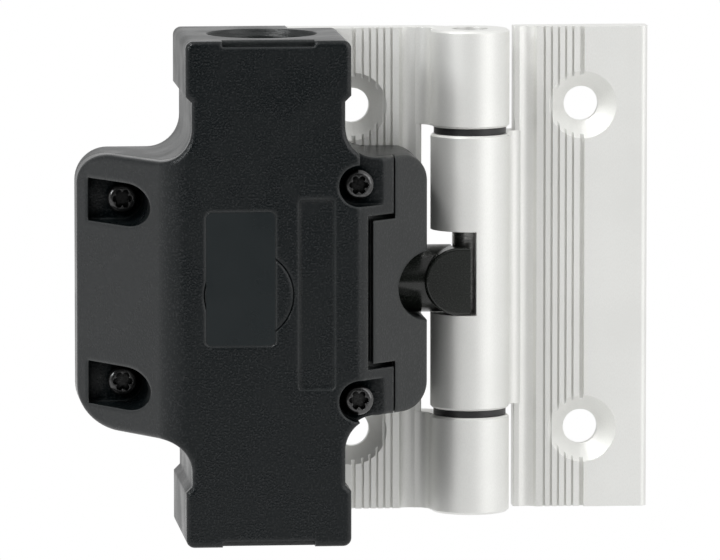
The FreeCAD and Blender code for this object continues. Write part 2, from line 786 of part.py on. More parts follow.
def make_tongue():
    """Stem with a flat underside and a half-round head that hoods the hinge pin."""
    radius = tongue_diameter / 2
    head_left = -tongue_tip_gap - tongue_head_length
    stem = d_bar(radius, tongue_flat, -tongue_stem_end, head_left + radius)
    z = housing_middle
    centre = head_left + radius
    left_half = box(head_left, centre, tongue_flat, tongue_front, z - radius, z + radius)
    head = joined([outward(radius, tongue_flat, tongue_front, centre, z).common(left_half),
                   box(centre, -tongue_tip_gap, tongue_flat, tongue_front, z - radius, z + radius)])
    rim = [edge for edge in head.Edges
           if all(abs(vertex.Point.y + tongue_front) < 1e-6 for vertex in edge.Vertexes)
           and edge.BoundBox.XMin < -tongue_tip_gap - 0.1]
    head = head.makeFillet(0.5, rim)
    slot = pin_diameter / 2 + soft_clearance
    pin_space = box(-slot, beyond, 0, axis_height + slot, z - 2 * radius, z + 2 * radius)
    pin_space = joined([pin_space, upright(slot, z - 2 * radius, z + 2 * radius)])
    tip = [(-tongue_tip_gap, tongue_front, 0), (beyond, tongue_front, 0),
           (beyond, axis_height, 0), (-tongue_tip_gap - tip_undercut, axis_height + slot, 0)]
    under = upright_prism(tip, z - 2 * radius, z + 2 * radius)
    return joined([stem, head]).cut([pin_space, under])


def seal_ring(inner_gap, grow):
    """Space of the lip seal round the stem, at the cavity end of its guide."""
    start = cavity_right - grow
    end = cavity_right + seal_ring_length + grow
    reach = tongue_diameter / 2 + inner_gap + seal_ring_thickness + grow
    return d_bar(reach, tongue_flat - inner_gap - seal_ring_thickness - grow, start, end)


def make_tongue_seal():
    """Lip seal round the stem."""
    reach = tongue_diameter / 2 + soft_clearance
    hole = d_bar(reach, tongue_flat - soft_clearance, cavity_right - 1, cavity_right + seal_ring_length + 1)
    return seal_ring(0, 0).cut(hole)


# ------------------------------------------------------------------------------------ contact element

def both_halves(shape):
    """A shape and its mirror image about the housing's middle."""
    return [shape, shape.mirror(FreeCAD.Vector(0, 0, housing_middle), FreeCAD.Vector(0, 0, 1))]


def over_raised_floor(height):
    """Space of the base's floor over the fixed leaf and of the seat's clearance, up to a height."""
    return box(-leaf_reach - floor_wall - seat_clearance, 0, -beyond, height, -housing_height, housing_height)


def make_contact_block():
    """Insulating block: floor with the carrier's groove, stepped terminal decks and the spring seat."""
    left = cavity_left + seat_clearance
    middle = housing_middle
    pieces = [box(left, -block_right, block_floor, block_base_height,
                  middle - block_half_height, middle + block_half_height)]
    deck = box(left, -block_right, block_floor, upper_deck_height, middle + channel_half, middle + deck_step)
    step = box(left, -block_right, block_floor, lower_deck_height, middle + deck_step,
               middle + block_half_height)
    pieces += both_halves(deck) + both_halves(step)
    pieces.append(box(left, left + spring_seat, block_floor, carrier_top, middle - channel_half,
                      middle + channel_half))
    block = joined(pieces)
    groove = keel_width / 2 + seat_clearance
    cutters = [box(left + spring_seat, 0, block_base_height - keel_depth - seat_clearance,
                   block_base_height + seat_clearance, middle - groove, middle + groove)]
    cutters.append(over_raised_floor(leaf_floor + seat_clearance))
    for x, z, f in terminal_places():
        cutters.append(outward(terminal_shank + running_clearance, f - terminal_hole_depth, f + beyond, x, z))
    for z in (middle + block_screw_offset, middle - block_screw_offset):
        cutters.append(outward(base_screw_shank + running_clearance, -beyond, lower_deck_height,
                               block_screw_x, z))
        cutters.append(outward(block_screw_head + seat_clearance, lower_deck_height,
                               upper_deck_height + beyond, block_screw_x, z))
    return block.cut(cutters)


def make_block_screws():
    """Two screws that hold the block to the base's floor."""
    screws = []
    for z in (housing_middle + block_screw_offset, housing_middle - block_screw_offset):
        top = lower_deck_height + block_screw_head_height
        head = outward(block_screw_head, lower_deck_height, top, block_screw_x, z)
        shank = outward(base_screw_shank, cavity_floor + 0.1, lower_deck_height, block_screw_x, z)
        drive = box(block_screw_x - beyond, block_screw_x + beyond, top - block_screw_slot, top + 1,
                    z - slot_width / 2, z + slot_width / 2)
        screws.append(joined([head, shank]).cut(drive))
    return Part.Compound(screws)


def terminal_places():
    """Centre and height of each terminal: front level on the upper decks, back level on the lower."""
    upper = (channel_half + deck_step) / 2 + strip_inset
    lower = deck_step + lower_terminal_offset
    places = []
    for offset, height, shift in ((upper, upper_deck_height, 0), (lower, lower_deck_height, terminal_shift)):
        for sign in (1, -1):
            places.append((shift - terminal_x, housing_middle + sign * offset, height))
    return places


def make_fixed_contacts():
    """Four strips: a contact tab beside the bridge and a plate under its terminal screw."""
    strips = []
    right = -block_right + contact_thickness
    plate_start = -terminal_x - clamp_side / 2
    lower, upper = bridge_heights
    for low, height, start, shift in ((upper, upper_deck_height, channel_half, 0),
                                      (lower, lower_deck_height, deck_step, terminal_shift)):
        z0 = housing_middle + start + strip_inset
        plate = box(plate_start + shift, right, height, height + contact_thickness, z0, z0 + strip_width)
        riser = box(-block_right, right, low, height + contact_thickness, z0, z0 + riser_width)
        tab = box(-block_right, right, low, low + bridge_width, housing_middle + contact_inner,
                  z0 + riser_width)
        strip = joined([plate, riser, tab])
        hole = [outward(terminal_shank + running_clearance, height - 1, height + 2, x, z)
                for x, z, f in terminal_places() if f == height]
        strips += [half.cut(hole) for half in both_halves(strip)]
    return Part.Compound(strips)


def make_terminal_clamps():
    """Square clamp washers under the terminal screws."""
    clamps = []
    for x, z, f in terminal_places():
        low = f + contact_thickness
        half = clamp_side / 2
        plate = box(x - half, x + half, low, low + clamp_thickness, z - half, z + half)
        clamps.append(plate.cut(outward(clamp_bore, low - 1, low + clamp_thickness + 1, x, z)))
    return Part.Compound(clamps)


def make_terminal_screws():
    """Terminal screws with a cross slot."""
    screws = []
    for x, z, f in terminal_places():
        low = f + contact_thickness + clamp_thickness
        head = outward(terminal_head_diameter / 2, low, low + terminal_head_height, x, z)
        shank = outward(terminal_shank, f - terminal_shank_reach, low, x, z)
        top = low + terminal_head_height
        reach = terminal_head_diameter * 0.38
        half = slot_width / 2
        slots = [box(x - reach, x + reach, top - slot_depth, top + 1, z - half, z + half),
                 box(x - half, x + half, top - slot_depth, top + 1, z - reach, z + reach)]
        screws.append(joined([head, shank]).cut(slots))
    return Part.Compound(screws)


def bridge_windows(grow):
    """Openings through the carrier for the bridges and their springs."""
    windows = []
    right = -block_right + 0.2
    for low in bridge_heights:
        windows.append(box(right - bridge_window_length, right, low - grow, low + bridge_width + grow,
                           housing_middle - bridge_half_length, housing_middle + bridge_half_length))
    return windows


def make_contact_carrier():
    """Slide pushed by the tongue's stem, with a keel in the block's groove."""
    right = -tongue_stem_end - running_clearance
    left = right - carrier_length
    middle = housing_middle
    half = carrier_half
    body = box(left, right, leaf_floor, carrier_top, middle - half, middle + half)
    keel = box(left, -block_right + 1.0, block_base_height - keel_depth, leaf_floor + 1.0,
               middle - keel_width / 2, middle + keel_width / 2)
    bore = across(return_spring_diameter / 2 + soft_clearance, left - 1, right - spring_bore_end,
                  return_spring_height, middle)
    cutters = bridge_windows(0.1) + [bore, over_raised_floor(leaf_floor + 0.2)]
    return joined([body, keel]).cut(cutters)


def make_moving_bridges():
    """Two bridge contacts with raised tips that face the fixed tabs."""
    right = -block_right - contact_gap
    bridges = []
    for low in bridge_heights:
        strip = box(right - bridge_thickness, right - bridge_tip_height, low, low + bridge_width,
                    housing_middle - bridge_half_length, housing_middle + bridge_half_length)
        tips = []
        for sign in (1, -1):
            tips.append(across(bridge_tip_radius, right - bridge_thickness, right, low + bridge_width / 2,
                               housing_middle + sign * (bridge_half_length - bridge_tip_inset)))
        bridges.append(joined([strip] + tips))
    return Part.Compound(bridges)


def make_bridge_springs():
    """Short pressure springs behind the bridges, as plain rings."""
    end = -block_right - contact_gap - bridge_thickness
    start = -block_right + 0.2 - bridge_window_length
    springs = []
    for low in bridge_heights:
        f = low + bridge_width / 2
        ring = across(bridge_spring_radius, start, end, f, housing_middle)
        springs.append(ring.cut(across(bridge_spring_bore, start - 1, end + 1, f, housing_middle)))
    return Part.Compound(springs)


def make_return_spring():
    """Coil spring from the block's seat into the carrier's bore, of square-section wire."""
    start = cavity_left + seat_clearance + spring_seat
    end = -tongue_stem_end - running_clearance - spring_bore_end
    wire_side = return_spring_wire
    radius = (return_spring_diameter - wire_side) / 2
    length = end - start - wire_side
    helix = Part.makeHelix(length / return_spring_turns, length, radius)
    half = wire_side / 2
    section = Part.makePolygon([FreeCAD.Vector(radius + a, 0, b) for a, b in
                                ((-half, -half), (half, -half), (half, half), (-half, half), (-half, -half))])
    coil = Part.Wire(helix).makePipeShell([section], True, True)
    coil.rotate(FreeCAD.Vector(0, 0, 0), FreeCAD.Vector(0, 1, 0), 90)
    coil.translate(FreeCAD.Vector(start + half, -return_spring_height, housing_middle))
    return coil


HOUSING = housing_form()

PIECES = {
    "fixed_leaf": make_fixed_leaf,
    "door_leaf": make_door_leaf,
    "hinge_pin": make_hinge_pin,
    "upper_bush": lambda: make_bush(1),
    "lower_bush": lambda: make_bush(-1),
    "base_screws": make_base_screws,
    "housing_base": make_housing_base,
    "housing_lid": make_housing_lid,
    "lid_seal": make_lid_seal,
    "rating_plate": make_rating_plate,
    "left_lid_screws": lambda: make_screws(left_screw_places(), left_pocket_floor),
    "right_lid_screws": lambda: make_screws(right_screw_places(), right_pocket_floor),
    "tongue": make_tongue,
    "tongue_seal": make_tongue_seal,
    "contact_block": make_contact_block,
    "block_screws": make_block_screws,
    "fixed_contacts": make_fixed_contacts,
    "terminal_clamps": make_terminal_clamps,
    "terminal_screws": make_terminal_screws,
    "contact_carrier": make_contact_carrier,
    "moving_bridges": make_moving_bridges,
    "bridge_springs": make_bridge_springs,
    "return_spring": make_return_spring,
}

os.makedirs("parts", exist_ok=True)
for name, make in PIECES.items():
    piece = make()
    piece.translate(FreeCAD.Vector(hole_reach, 0, 0))
    piece.exportStep("parts/" + name + ".step")
    print(name, "solids", len(piece.Solids), "valid", piece.isValid(), "volume", round(piece.Volume, 1))
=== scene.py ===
"""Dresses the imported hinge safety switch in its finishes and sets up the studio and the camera.

Every length is in metres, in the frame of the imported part: X across the hinge, -Y to the front, Z up.
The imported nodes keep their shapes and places. This script gives them their finishes, adds the ridge of
the cable entry's thread and the round wire of the springs, and lights the part in a white studio.
"""
import json
import logging
import math
from dataclasses import dataclass
from enum import Enum
from functools import cache
from typing import ClassVar

import bmesh
import bpy
from mathutils import Matrix, Vector


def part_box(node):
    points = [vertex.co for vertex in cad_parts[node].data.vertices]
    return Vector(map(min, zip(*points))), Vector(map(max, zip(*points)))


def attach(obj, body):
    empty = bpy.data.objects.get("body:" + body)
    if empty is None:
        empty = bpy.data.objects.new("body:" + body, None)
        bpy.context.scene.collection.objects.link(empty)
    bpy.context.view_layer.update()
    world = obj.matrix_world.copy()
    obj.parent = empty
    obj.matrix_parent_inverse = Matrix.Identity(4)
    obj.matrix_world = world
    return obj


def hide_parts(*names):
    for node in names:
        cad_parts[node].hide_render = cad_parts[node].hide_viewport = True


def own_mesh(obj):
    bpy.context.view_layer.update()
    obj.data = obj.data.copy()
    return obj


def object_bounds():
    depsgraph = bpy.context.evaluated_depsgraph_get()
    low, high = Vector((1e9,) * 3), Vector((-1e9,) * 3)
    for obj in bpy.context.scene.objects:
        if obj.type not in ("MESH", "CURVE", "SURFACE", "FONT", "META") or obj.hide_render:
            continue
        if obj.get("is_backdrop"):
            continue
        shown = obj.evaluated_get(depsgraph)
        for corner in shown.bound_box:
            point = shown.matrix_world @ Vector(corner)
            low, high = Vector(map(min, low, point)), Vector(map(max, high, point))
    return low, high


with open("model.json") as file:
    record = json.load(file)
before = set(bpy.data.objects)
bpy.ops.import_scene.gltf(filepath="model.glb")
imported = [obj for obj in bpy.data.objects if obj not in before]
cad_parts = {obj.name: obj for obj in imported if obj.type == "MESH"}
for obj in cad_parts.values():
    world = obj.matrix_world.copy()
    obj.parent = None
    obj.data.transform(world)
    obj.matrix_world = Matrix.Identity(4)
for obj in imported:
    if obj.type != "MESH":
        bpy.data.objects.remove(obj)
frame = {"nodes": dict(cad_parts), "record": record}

LOG = logging.getLogger("switch")
MM = 0.001
SHARP_FROM = math.radians(35.0)

Colour = tuple[float, float, float]
Point = tuple[float, float, float]
Span = tuple[float, float]
Outline = list[tuple[float, float]]
Socket = bpy.types.NodeSocket

WHITE: Colour = (1.0, 1.0, 1.0)
# Near black of the shade painted into hollows.
PAINTED_SHADE_BLACK: Colour = (0.002, 0.002, 0.002)
# Grey of the highlight painted along edges.
EDGE_HIGHLIGHT_GREY: Colour = (0.16, 0.17, 0.17)


class Body(Enum):
    """The bodies of the part that new pieces ride on, by the names that the frame gives them."""

    SWITCH = "switch_side"
    TONGUE = "tongue_side"


class Grain(Enum):
    """How a surface was worked, as the stretch of its grain along X, Y and Z."""

    MOULDED = (1.0, 1.0, 1.0)
    SATIN = (1.0, 1.0, 0.35)
    TURNED_ROUND_Z = (0.15, 0.15, 1.0)


class NodeTree:
    """A short way to write a node tree."""

    NOISE_SPAN: Span = (0.3, 0.7)
    EDGE_SPAN: Span = (0.80, 0.985)
    SHELTER_SPAN: Span = (0.35, 0.90)
    EDGE_SAMPLES: int = 8
    SHELTER_SAMPLES: int = 8
    ROUNDING_SAMPLES: int = 6

    def __init__(self, tree: bpy.types.NodeTree) -> None:
        """Takes the nodes and links of a tree."""
        self.nodes = tree.nodes
        self.links = tree.links

    def add(self, kind: str, inputs: dict[str | int, object] | None = None,
            **settings: object) -> bpy.types.Node:
        """Adds a node.

        Args:
            kind: The node's type, without its ShaderNode prefix.
            inputs: Socket names or numbers mapped to a value or to a socket to link from.
            **settings: Properties of the node.

        Returns:
            The new node.
        """
        node = self.nodes.new("ShaderNode" + kind)
        for key, value in settings.items():
            setattr(node, key, value)
        for key, value in (inputs or {}).items():
            self.feed(node.inputs[key], value)
        return node

    def feed(self, socket: Socket, value: object) -> None:
        """Links a socket to another socket, or sets its value.

        Args:
            socket: The input that takes the value.
            value: An output to link from, a number, a point, or an opaque colour.
        """
        if isinstance(value, bpy.types.NodeSocket):
            self.links.new(value, socket)
        elif socket.type == "RGBA":
            socket.default_value = (*value, 1.0)
        else:
            socket.default_value = value

    def calculate(self, operation: str, *values: object) -> Socket:
        """Returns what a Math node makes of two or three values."""
        return self.add("Math", dict(enumerate(values)), operation=operation).outputs["Value"]

    def place(self, stretch: Point = (1.0, 1.0, 1.0)) -> Socket:
        """Reads where a point lies on the part.

        Args:
            stretch: A factor on each axis.

        Returns:
            Its object coordinates, stretched by the factors.
        """
        coordinates = self.add("TexCoord")
        mapping = self.add("Mapping", {"Vector": coordinates.outputs["Object"], "Scale": stretch})
        return mapping.outputs["Vector"]

    def noise(self, where: Socket, scale: float, detail: float = 3.0) -> Socket:
        """Returns a noise value between 0 and 1."""
        node = self.add("TexNoise", {"Vector": where, "Scale": scale, "Detail": detail})
        return node.outputs["Fac"]

    def spread(self, value: Socket, low: float, high: float, span: Span = NOISE_SPAN) -> Socket:
        """Maps a value smoothly to another range.

        Args:
            value: The value to map.
            low: The result at the start of the span, and below it.
            high: The result at the end of the span, and above it.
            span: Where the value starts and ends.

        Returns:
            The mapped value.
        """
        start, end = span
        node = self.add("MapRange", {"Value": value, "From Min": start, "From Max": end,
                                     "To Min": low, "To Max": high}, interpolation_type="SMOOTHSTEP")
        return node.outputs["Result"]

    def blend(self, factor: Socket, first: Colour | Socket, second: Colour | Socket) -> Socket:
        """Returns a colour between two colours."""
        node = self.add("MixRGB", {"Fac": factor, "Color1": first, "Color2": second})
        return node.outputs["Color"]

    def choose(self, factor: Socket, first: float | Socket, second: float | Socket) -> Socket:
        """Returns the first number where the factor is 0 and the second where it is 1."""
        return self.add("Mix", {"Factor": factor, "A": first, "B": second}).outputs["Result"]

    def edges(self, radius: float) -> Socket:
        """Finds the edges of the shape.

        Args:
            radius: How far an edge reaches into its faces.

        Returns:
            A value that is 1 on the edges and 0 on the faces.
        """
        soft = self.add("Bevel", {"Radius": radius}, samples=self.EDGE_SAMPLES).outputs["Normal"]
        flat = self.add("NewGeometry").outputs["Normal"]
        likeness = self.add("VectorMath", {0: soft, 1: flat}, operation="DOT_PRODUCT").outputs["Value"]
        return self.spread(likeness, 1.0, 0.0, self.EDGE_SPAN)

    def openness(self, reach: float) -> Socket:
        """Finds how open a surface lies.

        Args:
            reach: How near the walls that shelter a surface are.

        Returns:
            A value that is 1 on an open surface and 0 deep in a hollow, where the finishes paint shade.
        """
        open_sky = self.add("AmbientOcclusion", {"Distance": reach},
                            samples=self.SHELTER_SAMPLES).outputs["AO"]
        return self.spread(open_sky, 0.0, 1.0, self.SHELTER_SPAN)


class FinishTree(NodeTree):
    """The node tree of a new material, with its Principled shader."""

    def __init__(self, name: str) -> None:
        """Starts the material.

        Args:
            name: The finish's name.
        """
        self.material = bpy.data.materials.new(name + "_finish")
        self.material.use_nodes = True
        super().__init__(self.material.node_tree)
        self.shader = self.nodes["Principled BSDF"]

    def relief(self, height: Socket, depth: float, edge_radius: float) -> None:
        """Gives the surface a fine relief, over edges that look rounded.

        Args:
            height: The relief's height from 0 to 1.
            depth: The relief's depth.
            edge_radius: How far sharp edges look rounded.
        """
        rounded = self.add("Bevel", {"Radius": edge_radius}, samples=self.ROUNDING_SAMPLES)
        bump = self.add("Bump", {"Height": height, "Distance": depth, "Strength": 1.0,
                                 "Normal": rounded.outputs["Normal"]})
        self.feed(self.shader.inputs["Normal"], bump.outputs["Normal"])


@dataclass(frozen=True, kw_only=True)
class MouldedPlastic:
    """Plastic from a spark-eroded mould: a fine even grain with faint patches of gloss.

    Attributes:
        name: The record's material slot.
        colour: Its colour between the specks.
        roughness: How matt it is on average.
        grain_size: The width of a grain.
        grain_depth: The height of a grain.
        specular: How strongly its surface reflects, where 0.5 is common plastic.
        edge_radius: How far its edges look rounded.
        patch_size: The width of a glossier or duller patch.
        glint_speckle: How much lighter the grain's specks are, as painted glints.
        edge_highlight: How far its edges take the grey of a painted highlight, from 0 to 1.
        painted_shade_reach: How near walls must be for painted shade to darken its reflections, or 0 where
            none is painted.
    """

    PATCH_DETAIL: ClassVar[float] = 4.0
    GRAIN_DETAIL: ClassVar[float] = 2.0
    GLINT_SPECK_SPAN: ClassVar[Span] = (0.47, 0.72)
    # Weakest strength of the painted edge highlight, in its faintest patches.
    LEAST_EDGE_HIGHLIGHT: ClassVar[float] = 0.6
    GLOSSIER: ClassVar[float] = 0.05
    DULLER: ClassVar[float] = 0.06

    name: str
    colour: Colour
    roughness: float
    grain_size: float
    grain_depth: float
    specular: float = 0.5
    edge_radius: float = 0.15 * MM
    patch_size: float = 9.0 * MM
    glint_speckle: float = 0.012
    edge_highlight: float = 0.0
    painted_shade_reach: float = 0.0

    def build(self) -> bpy.types.Material:
        """Writes the finish's node tree.

        Returns:
            The material.
        """
        tree = FinishTree(self.name)
        where = tree.place()
        patches = tree.noise(where, 1.0 / self.patch_size, self.PATCH_DETAIL)
        grain = tree.noise(where, 1.0 / self.grain_size, self.GRAIN_DETAIL)
        # The lighter specks of the grain are painted glints.
        lighter: Colour = tuple(min(1.0, part + self.glint_speckle) for part in self.colour)
        colour = tree.blend(tree.spread(grain, 0.0, 1.0, self.GLINT_SPECK_SPAN), self.colour, lighter)
        # Painted highlight: the edges take a lighter grey, patchy in strength.
        if self.edge_highlight > 0:
            highlit_edges = tree.calculate("MULTIPLY", tree.edges(self.edge_radius), self.edge_highlight)
            highlit_edges = tree.calculate("MULTIPLY", highlit_edges, tree.spread(patches, self.LEAST_EDGE_HIGHLIGHT, 1.0))
            colour = tree.blend(highlit_edges, colour, EDGE_HIGHLIGHT_GREY)
        tree.feed(tree.shader.inputs["Base Color"], colour)
        tree.feed(tree.shader.inputs["Roughness"],
                  tree.spread(patches, self.roughness - self.GLOSSIER, self.roughness + self.DULLER))
        tree.shader.inputs["Specular IOR Level"].default_value = self.specular
        # Painted shade: near walls darken its reflections through the specular tint.
        if self.painted_shade_reach > 0:
            tree.feed(tree.shader.inputs["Specular Tint"],
                      tree.blend(tree.openness(self.painted_shade_reach), PAINTED_SHADE_BLACK, WHITE))
        tree.relief(grain, self.grain_depth, self.edge_radius)
        return tree.material


@dataclass(frozen=True, kw_only=True)
class WorkedMetal:
    """Metal with the fine lines that drawing, milling or turning leaves.

    Attributes:
        name: The record's material slot.
        colour: Its colour where it is clean.
        shade: Its colour where it is stained.
        roughness: How matt it is on average.
        grain: How it was worked.
        line_size: The width of a line, or of a spot where nothing stretches the grain.
        line_depth: The depth of a line.
        edge_radius: How far its edges look rounded.
        patch_size: The width of a clean or stained patch.
        metallic: 1 where it is bare, less where a coat covers it.
        painted_shade_reach: How near walls must be for painted shade to darken its colour, or 0 where none
            is painted.
    """

    STAIN_SPAN: ClassVar[Span] = (0.14, 0.38)
    GLOSSIER: ClassVar[float] = 0.05
    DULLER: ClassVar[float] = 0.07

    name: str
    colour: Colour
    shade: Colour
    roughness: float
    grain: Grain
    line_size: float
    line_depth: float
    edge_radius: float = 0.1 * MM
    patch_size: float = 14.0 * MM
    metallic: float = 1.0
    painted_shade_reach: float = 0.0

    def build(self) -> bpy.types.Material:
        """Writes the finish's node tree.

        Returns:
            The material.
        """
        tree = FinishTree(self.name)
        lines = tree.noise(tree.place(self.grain.value), 1.0 / self.line_size)
        patches = tree.noise(tree.place(), 1.0 / self.patch_size)
        stains = tree.spread(tree.calculate("MULTIPLY", lines, patches), 0.0, 1.0, self.STAIN_SPAN)
        colour = tree.blend(stains, self.shade, self.colour)
        # Painted shade: near walls darken its colour.
        if self.painted_shade_reach > 0:
            colour = tree.blend(tree.openness(self.painted_shade_reach), PAINTED_SHADE_BLACK, colour)
        tree.feed(tree.shader.inputs["Base Color"], colour)
        tree.feed(tree.shader.inputs["Roughness"],
                  tree.spread(lines, self.roughness + self.DULLER, self.roughness - self.GLOSSIER))
        tree.shader.inputs["Metallic"].default_value = self.metallic
        tree.relief(lines, self.line_depth, self.edge_radius)
        return tree.material


Finish = MouldedPlastic | WorkedMetal

LEAF_ALLOY = WorkedMetal(
    name="leaf_alloy", colour=(0.86, 0.86, 0.835), shade=(0.82, 0.82, 0.795), roughness=0.45,
    grain=Grain.SATIN, line_size=0.14 * MM, line_depth=0.0022 * MM, metallic=0.52)
PIN_STEEL = WorkedMetal(
    name="pin_steel", colour=(0.30, 0.30, 0.29), shade=(0.22, 0.22, 0.22), roughness=0.30,
    grain=Grain.TURNED_ROUND_Z, line_size=0.2 * MM, line_depth=0.003 * MM)
ZINC_STEEL = WorkedMetal(
    name="zinc_steel", colour=(0.66, 0.67, 0.68), shade=(0.50, 0.51, 0.50), roughness=0.32,
    grain=Grain.MOULDED, line_size=0.5 * MM, line_depth=0.003 * MM)
SPRING_STEEL = WorkedMetal(
    name="spring_steel", colour=(0.52, 0.52, 0.53), shade=(0.34, 0.34, 0.35), roughness=0.30,
    grain=Grain.MOULDED, line_size=0.3 * MM, line_depth=0.002 * MM)
CONTACT_BRASS = WorkedMetal(
    name="contact_brass", colour=(0.78, 0.60, 0.28), shade=(0.62, 0.46, 0.20), roughness=0.30,
    grain=Grain.MOULDED, line_size=0.4 * MM, line_depth=0.003 * MM)
# Painted shade darkens the socket of each head.
SCREW_BLACK = WorkedMetal(
    name="screw_black", colour=(0.095, 0.095, 0.095), shade=(0.060, 0.060, 0.060), roughness=0.17,
    grain=Grain.MOULDED, line_size=0.6 * MM, line_depth=0.0004 * MM, edge_radius=0.25 * MM,
    metallic=0.9, painted_shade_reach=2.2 * MM)
# Painted highlight along its edges and painted glints on its grain.
HOUSING_PLASTIC = MouldedPlastic(
    name="housing_plastic", colour=(0.0050, 0.0072, 0.0074), roughness=0.34,
    grain_size=0.42 * MM, grain_depth=0.060 * MM, edge_radius=1.0 * MM, edge_highlight=0.20)
# Painted highlight along its edges, painted glints on its grain, and painted shade on its reflections in
# the screw pockets.
LID_PLASTIC = MouldedPlastic(
    name="lid_plastic", colour=(0.0010, 0.0029, 0.0037), roughness=0.26,
    grain_size=0.34 * MM, grain_depth=0.040 * MM, specular=0.36, edge_radius=1.0 * MM,
    glint_speckle=0.014, edge_highlight=0.20, painted_shade_reach=4.0 * MM)
PLATE_FOIL = MouldedPlastic(
    name="plate_foil", colour=(0.0040, 0.0076, 0.0088), roughness=0.30,
    grain_size=0.12 * MM, grain_depth=0.003 * MM, specular=0.42, glint_speckle=0.003)
BEARING_PLASTIC = MouldedPlastic(
    name="bearing_plastic", colour=(0.012, 0.012, 0.012), roughness=0.40,
    grain_size=0.15 * MM, grain_depth=0.004 * MM)
TONGUE_PLASTIC = MouldedPlastic(
    name="tongue_plastic", colour=(0.009, 0.011, 0.009), roughness=0.22,
    grain_size=0.30 * MM, grain_depth=0.003 * MM)
SEAL_RUBBER = MouldedPlastic(
    name="seal_rubber", colour=(0.014, 0.014, 0.014), roughness=0.66,
    grain_size=0.18 * MM, grain_depth=0.008 * MM, specular=0.3)
BLOCK_PLASTIC = MouldedPlastic(
    name="block_plastic", colour=(0.50, 0.46, 0.38), roughness=0.45,
    grain_size=0.20 * MM, grain_depth=0.006 * MM)
CARRIER_PLASTIC = MouldedPlastic(
    name="carrier_plastic", colour=(0.62, 0.61, 0.57), roughness=0.42,
    grain_size=0.20 * MM, grain_depth=0.006 * MM)


@cache
def material_of(finish: Finish) -> bpy.types.Material:
    """Returns a finish's material, which is built once and shared."""
    return finish.build()


@dataclass
class Winding:
    """A strip of one section that winds round an axis, such as a thread's ridge or a spring's wire.

    Attributes:
        radius: The distance of the section's origin from the axis.
        length: How far it goes along the axis.
        turns: How often it goes round.
        outline: The corners of its section, outward and along the axis.
        steps_per_turn: How many straight pieces make a turn.
        end_pitch: The pitch of a closed first and last turn, or None where all turns are alike.
    """

    radius: float
    length: float
    turns: float
    outline: Outline
    steps_per_turn: int
    end_pitch: float | None = None

    def rise(self, turn: float) -> float:
        """Works out how far the strip has gone along its axis.

        Args:
            turn: The number of turns from its start.

        Returns:
            The distance from where the strip starts.
        """
        if self.end_pitch is None:
            return self.length * turn / self.turns
        open_turns = self.turns - 2.0
        open_pitch = (self.length - 2.0 * self.end_pitch) / open_turns
        closed = min(turn, 1.0) + max(0.0, turn - 1.0 - open_turns)
        return self.end_pitch * closed + open_pitch * min(max(turn - 1.0, 0.0), open_turns)

    def wind(self, mesh: bmesh.types.BMesh, place: Matrix) -> None:
        """Adds the strip to a mesh as one closed body.

        Args:
            mesh: The mesh that takes it.
            place: Where its axis starts, with the axis along the place's own Z.
        """
        count = round(self.turns * self.steps_per_turn)
        rings: list[list[bmesh.types.BMVert]] = []
        for i in range(count + 1):
            turn = self.turns * i / count
            angle = 2.0 * math.pi * turn
            ring = []
            for outward, along in self.outline:
                reach = self.radius + outward
                point = Vector((reach * math.cos(angle), reach * math.sin(angle), self.rise(turn) + along))
                ring.append(mesh.verts.new(place @ point))
            rings.append(ring)
        for lower, upper in zip(rings, rings[1:]):
            for j in range(len(lower)):
                k = (j + 1) % len(lower)
                mesh.faces.new((lower[j], lower[k], upper[k], upper[j]))
        mesh.faces.new(rings[0])
        mesh.faces.new(rings[-1])
        bmesh.ops.recalc_face_normals(mesh, faces=mesh.faces)


def wire_outline(diameter: float, sides: int = 10) -> Outline:
    """Returns the section of a round wire."""
    angles = [2.0 * math.pi * i / sides for i in range(sides)]
    return [(diameter / 2 * math.cos(a), diameter / 2 * math.sin(a)) for a in angles]


def ridge_outline(height: float, foot: float, sink: float) -> Outline:
    """Draws the section of a thread's ridge that points inward, its crest an eighth of its foot.

    Args:
        height: How far the ridge stands out of the bore.
        foot: Its width at the bore.
        sink: How far it reaches into the wall.

    Returns:
        The corners of the section, outward and along the axis.
    """
    crest = foot / 8
    return [(sink, -foot / 2), (-height, -crest / 2), (-height, crest / 2), (sink, foot / 2)]


def new_piece(name: str, mesh: bmesh.types.BMesh, finish: Finish, body: Body) -> bpy.types.Object:
    """Turns a finished mesh into a piece of the part, shaded smooth except over its sharp edges.

    Args:
        name: The piece's name.
        mesh: Its mesh, in the frame of the part.
        finish: Its finish, which also names its material slot.
        body: The body that it moves with.

    Returns:
        The new piece.
    """
    data = bpy.data.meshes.new(name)
    mesh.to_mesh(data)
    mesh.free()
    data.polygons.foreach_set("use_smooth", [True] * len(data.polygons))
    data.set_sharp_from_angle(angle=SHARP_FROM)
    data.materials.append(material_of(finish))
    piece = bpy.data.objects.new(name, data)
    bpy.context.collection.objects.link(piece)
    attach(piece, body.value)
    LOG.info("%s rides on %s", name, body.value)
    return piece


@dataclass
class SubAssembly:
    """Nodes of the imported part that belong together, each with its finish."""

    label: str
    finishes: dict[str, Finish]

    def build(self) -> None:
        """Dresses the nodes. A sub-assembly with pieces of its own builds them too."""
        self.dress()

    def dress(self) -> None:
        """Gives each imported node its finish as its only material."""
        for name, finish in self.finishes.items():
            node = frame["nodes"][name]
            node.data.materials.clear()
            node.data.materials.append(material_of(finish))
            LOG.info("%s: %s is %s", self.label, name, finish.name)


